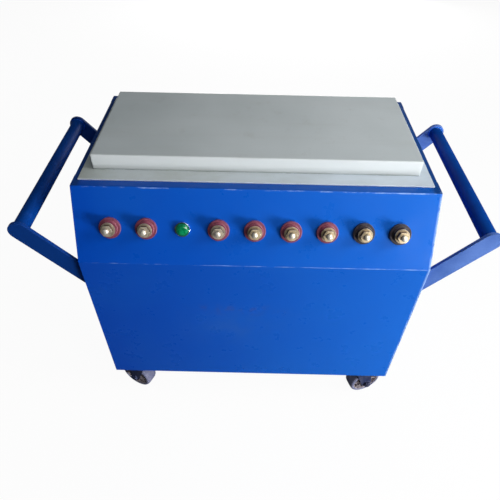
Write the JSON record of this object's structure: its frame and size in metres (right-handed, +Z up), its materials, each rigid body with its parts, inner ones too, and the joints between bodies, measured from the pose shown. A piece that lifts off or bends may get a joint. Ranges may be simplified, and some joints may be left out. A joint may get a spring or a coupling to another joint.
{
  "type": "variable autotransformer",
  "caption": "Floor-standing hand-set variable autotransformer in a painted sheet cabinet on castors, with sloping terminal row, hinged cover and side push handles.",
  "frame": {"origin": "on the floor, below the middle of the whole outline", "axes": "+X to the operator's right, +Y to the back, +Z up; the terminal row faces -Y"},
  "size_m": [0.8074, 0.3742, 0.6013],
  "materials": {
    "blue_enamel": "gloss stoved enamel, lightly worn along its folds",
    "grey_enamel": "satin stoved enamel",
    "zinc_plate": "zinc-plated steel",
    "terminal_brass": "turned brass, some studs tinned",
    "red_bakelite": "moulded, dull gloss",
    "black_bakelite": "moulded, dull gloss",
    "green_lens": "cut jewel lens",
    "lamp_chrome": "bright",
    "core_steel": "wound silicon-steel strip and ground shaft",
    "enamelled_copper": "enamelled copper wire, bare on the brush track",
    "insulating_board": "phenolic board",
    "arm_aluminium": "as cast",
    "dial_aluminium": "satin, with engraved scale",
    "carbon": "pressed carbon",
    "lead_sheath": "PVC sheath",
    "castor_polymer": "moulded polymer",
    "castor_paint": "dark blue paint on pressed steel"
  },
  "bodies": {
    "cabinet": {"front_panel": "blue_enamel", "left_side_panel": "blue_enamel", "right_side_panel": "blue_enamel", "rear_panel": "blue_enamel", "base_plate": "blue_enamel", "deck_plate": "grey_enamel", "panel_screws": "zinc_plate", "frame_hinge_leaves": "zinc_plate", "hinge_pins": "zinc_plate", "left_handle_arms": "blue_enamel", "left_handle_grip": "blue_enamel", "right_handle_arms": "blue_enamel", "right_handle_grip": "blue_enamel", "castor_top_plates": "zinc_plate", "castor_bolts": "zinc_plate", "terminal_studs": "terminal_brass", "red_insulators": "red_bakelite", "black_insulators": "black_bakelite", "rear_insulators": "black_bakelite", "fixed_terminal_nuts": "terminal_brass", "lamp_bezel": "lamp_chrome", "lamp_lens": "green_lens", "lamp_body": "black_bakelite", "toroid_cores": "core_steel", "windings": "enamelled_copper", "stack_plates": "insulating_board", "tie_rods": "zinc_plate", "shaft_bushes": "terminal_brass", "dial_plate": "dial_aluminium", "phase_leads": "lead_sheath"},
    "cover": {"top_cover": "grey_enamel", "cover_hinge_leaves": "zinc_plate"},
    "rotor": {"main_shaft": "core_steel", "brush_arms": "arm_aluminium", "carbon_brushes": "carbon", "control_knob": "black_bakelite"},
    "front_left_castor": {"front_left_castor_fork": "castor_paint"},
    "front_left_wheel": {"front_left_castor_wheel": "castor_polymer"},
    "front_right_castor": {"front_right_castor_fork": "castor_paint"},
    "front_right_wheel": {"front_right_castor_wheel": "castor_polymer"},
    "rear_left_castor": {"rear_left_castor_fork": "castor_paint"},
    "rear_left_wheel": {"rear_left_castor_wheel": "castor_polymer"},
    "rear_right_castor": {"rear_right_castor_fork": "castor_paint"},
    "rear_right_wheel": {"rear_right_castor_wheel": "castor_polymer"},
    "clamp_washer_1": {"clamp_washer_1": "terminal_brass"},
    "clamp_nut_1": {"clamp_nut_1": "terminal_brass"},
    "clamp_washer_2": {"clamp_washer_2": "terminal_brass"},
    "clamp_nut_2": {"clamp_nut_2": "terminal_brass"},
    "clamp_washer_3": {"clamp_washer_3": "terminal_brass"},
    "clamp_nut_3": {"clamp_nut_3": "terminal_brass"},
    "clamp_washer_4": {"clamp_washer_4": "terminal_brass"},
    "clamp_nut_4": {"clamp_nut_4": "terminal_brass"},
    "clamp_washer_5": {"clamp_washer_5": "terminal_brass"},
    "clamp_nut_5": {"clamp_nut_5": "terminal_brass"},
    "clamp_washer_6": {"clamp_washer_6": "terminal_brass"},
    "clamp_nut_6": {"clamp_nut_6": "terminal_brass"},
    "clamp_washer_7": {"clamp_washer_7": "terminal_brass"},
    "clamp_nut_7": {"clamp_nut_7": "terminal_brass"},
    "clamp_washer_8": {"clamp_washer_8": "terminal_brass"},
    "clamp_nut_8": {"clamp_nut_8": "terminal_brass"}
  },
  "joints": [
    {"name": "cover_hinge", "type": "hinge", "parent": "cabinet", "child": "cover", "pos_m": [0, 0.17256, 0.5749], "axis": [-1, 0, 0], "range_deg": [0, 105]},
    {"name": "knob_turn", "type": "hinge", "parent": "cabinet", "child": "rotor", "pos_m": [0, 0.00406, 0.545], "axis": [0, 0, -1], "range_deg": [0, 320]},
    {"name": "front_left_swivel", "type": "hinge", "parent": "cabinet", "child": "front_left_castor", "pos_m": [-0.248, -0.15394, 0.0957], "axis": [0, 0, 1], "continuous": true},
    {"name": "front_left_roll", "type": "hinge", "parent": "front_left_castor", "child": "front_left_wheel", "pos_m": [-0.26598, -0.14517, 0.0375], "axis": [-0.4384, -0.8988, 0], "continuous": true},
    {"name": "front_right_swivel", "type": "hinge", "parent": "cabinet", "child": "front_right_castor", "pos_m": [0.248, -0.15394, 0.0957], "axis": [0, 0, 1], "continuous": true},
    {"name": "front_right_roll", "type": "hinge", "parent": "front_right_castor", "child": "front_right_wheel", "pos_m": [0.26679, -0.1471, 0.0375], "axis": [-0.342, 0.9397, 0], "continuous": true},
    {"name": "rear_left_swivel", "type": "hinge", "parent": "cabinet", "child": "rear_left_castor", "pos_m": [-0.248, 0.15206, 0.0957], "axis": [0, 0, 1], "continuous": true},
    {"name": "rear_left_roll", "type": "hinge", "parent": "rear_left_castor", "child": "rear_left_wheel", "pos_m": [-0.26679, 0.14522, 0.0375], "axis": [0.342, -0.9397, 0], "continuous": true},
    {"name": "rear_right_swivel", "type": "hinge", "parent": "cabinet", "child": "rear_right_castor", "pos_m": [0.248, 0.15206, 0.0957], "axis": [0, 0, 1], "continuous": true},
    {"name": "rear_right_roll", "type": "hinge", "parent": "rear_right_castor", "child": "rear_right_wheel", "pos_m": [0.26679, 0.14522, 0.0375], "axis": [0.342, 0.9397, 0], "continuous": true},
    {"name": "clamp_washer_1_lift", "type": "slide", "parent": "cabinet", "child": "clamp_washer_1", "axis": [0, -0.9075, 0.42], "range_m": [0, 0.0053]},
    {"name": "clamp_nut_1_turn", "type": "hinge", "parent": "clamp_washer_1", "child": "clamp_nut_1", "pos_m": [-0.24, -0.17249, 0.5143], "axis": [0, -0.9075, 0.42], "range_deg": [0, 1260]},
    {"name": "clamp_washer_2_lift", "type": "slide", "parent": "cabinet", "child": "clamp_washer_2", "axis": [0, -0.9075, 0.42], "range_m": [0, 0.0053]},
    {"name": "clamp_nut_2_turn", "type": "hinge", "parent": "clamp_washer_2", "child": "clamp_nut_2", "pos_m": [-0.18, -0.17249, 0.5143], "axis": [0, -0.9075, 0.42], "range_deg": [0, 1260]},
    {"name": "clamp_washer_3_lift", "type": "slide", "parent": "cabinet", "child": "clamp_washer_3", "axis": [0, -0.9075, 0.42], "range_m": [0, 0.0053]},
    {"name": "clamp_nut_3_turn", "type": "hinge", "parent": "clamp_washer_3", "child": "clamp_nut_3", "pos_m": [-0.06, -0.17249, 0.5143], "axis": [0, -0.9075, 0.42], "range_deg": [0, 1260]},
    {"name": "clamp_washer_4_lift", "type": "slide", "parent": "cabinet", "child": "clamp_washer_4", "axis": [0, -0.9075, 0.42], "range_m": [0, 0.0053]},
    {"name": "clamp_nut_4_turn", "type": "hinge", "parent": "clamp_washer_4", "child": "clamp_nut_4", "pos_m": [0, -0.17249, 0.5143], "axis": [0, -0.9075, 0.42], "range_deg": [0, 1260]},
    {"name": "clamp_washer_5_lift", "type": "slide", "parent": "cabinet", "child": "clamp_washer_5", "axis": [0, -0.9075, 0.42], "range_m": [0, 0.0053]},
    {"name": "clamp_nut_5_turn", "type": "hinge", "parent": "clamp_washer_5", "child": "clamp_nut_5", "pos_m": [0.06, -0.17249, 0.5143], "axis": [0, -0.9075, 0.42], "range_deg": [0, 1260]},
    {"name": "clamp_washer_6_lift", "type": "slide", "parent": "cabinet", "child": "clamp_washer_6", "axis": [0, -0.9075, 0.42], "range_m": [0, 0.0053]},
    {"name": "clamp_nut_6_turn", "type": "hinge", "parent": "clamp_washer_6", "child": "clamp_nut_6", "pos_m": [0.12, -0.17249, 0.5143], "axis": [0, -0.9075, 0.42], "range_deg": [0, 1260]},
    {"name": "clamp_washer_7_lift", "type": "slide", "parent": "cabinet", "child": "clamp_washer_7", "axis": [0, -0.9075, 0.42], "range_m": [0, 0.0053]},
    {"name": "clamp_nut_7_turn", "type": "hinge", "parent": "clamp_washer_7", "child": "clamp_nut_7", "pos_m": [0.18, -0.17249, 0.5143], "axis": [0, -0.9075, 0.42], "range_deg": [0, 1260]},
    {"name": "clamp_washer_8_lift", "type": "slide", "parent": "cabinet", "child": "clamp_washer_8", "axis": [0, -0.9075, 0.42], "range_m": [0, 0.0053]},
    {"name": "clamp_nut_8_turn", "type": "hinge", "parent": "clamp_washer_8", "child": "clamp_nut_8", "pos_m": [0.24, -0.17249, 0.5143], "axis": [0, -0.9075, 0.42], "range_deg": [0, 1260]}
  ],
  "couplings": [
    {"joint": "clamp_washer_1_lift", "follows": "clamp_nut_1_turn", "m_per_rad": 0.00023873},
    {"joint": "clamp_washer_2_lift", "follows": "clamp_nut_2_turn", "m_per_rad": 0.00023873},
    {"joint": "clamp_washer_3_lift", "follows": "clamp_nut_3_turn", "m_per_rad": 0.00023873},
    {"joint": "clamp_washer_4_lift", "follows": "clamp_nut_4_turn", "m_per_rad": 0.00023873},
    {"joint": "clamp_washer_5_lift", "follows": "clamp_nut_5_turn", "m_per_rad": 0.00023873},
    {"joint": "clamp_washer_6_lift", "follows": "clamp_nut_6_turn", "m_per_rad": 0.00023873},
    {"joint": "clamp_washer_7_lift", "follows": "clamp_nut_7_turn", "m_per_rad": 0.00023873},
    {"joint": "clamp_washer_8_lift", "follows": "clamp_nut_8_turn", "m_per_rad": 0.00023873}
  ]
}
